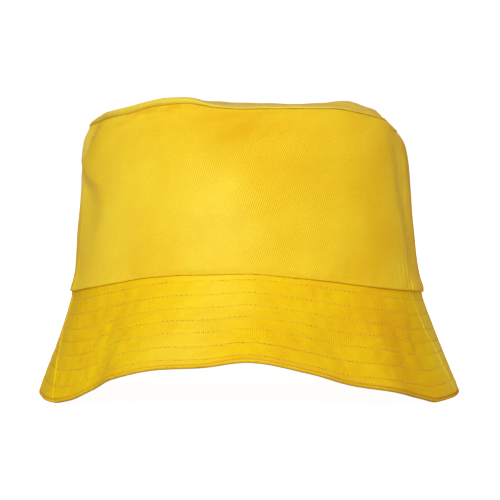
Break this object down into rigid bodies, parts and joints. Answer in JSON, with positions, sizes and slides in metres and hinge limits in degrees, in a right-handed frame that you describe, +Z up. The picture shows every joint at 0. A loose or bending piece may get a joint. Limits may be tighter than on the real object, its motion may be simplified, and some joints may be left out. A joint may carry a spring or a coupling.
{
  "type": "sun hat",
  "caption": "Soft cloth bucket hat that shades the head: an oval flat-topped crown over a sloping stitched brim, standing on its brim.",
  "frame": {"origin": "on the floor, under the middle of the space that the hat takes up", "axes": "+Z up through the crown, -Y out of the front of the hat, +X to the wearer's left"},
  "size_m": [0.2422, 0.2539, 0.1699],
  "materials": {
    "twill": "matt yellow cotton twill, one ply",
    "stitched_twill": "matt yellow cotton twill, two plies stitched together in rows"
  },
  "bodies": {
    "root": {"tip": "twill", "crown_front": "twill", "crown_back": "twill", "brim_upper_front": "stitched_twill", "brim_upper_back": "stitched_twill", "brim_under_front": "stitched_twill", "brim_under_back": "stitched_twill"}
  },
  "joints": []
}
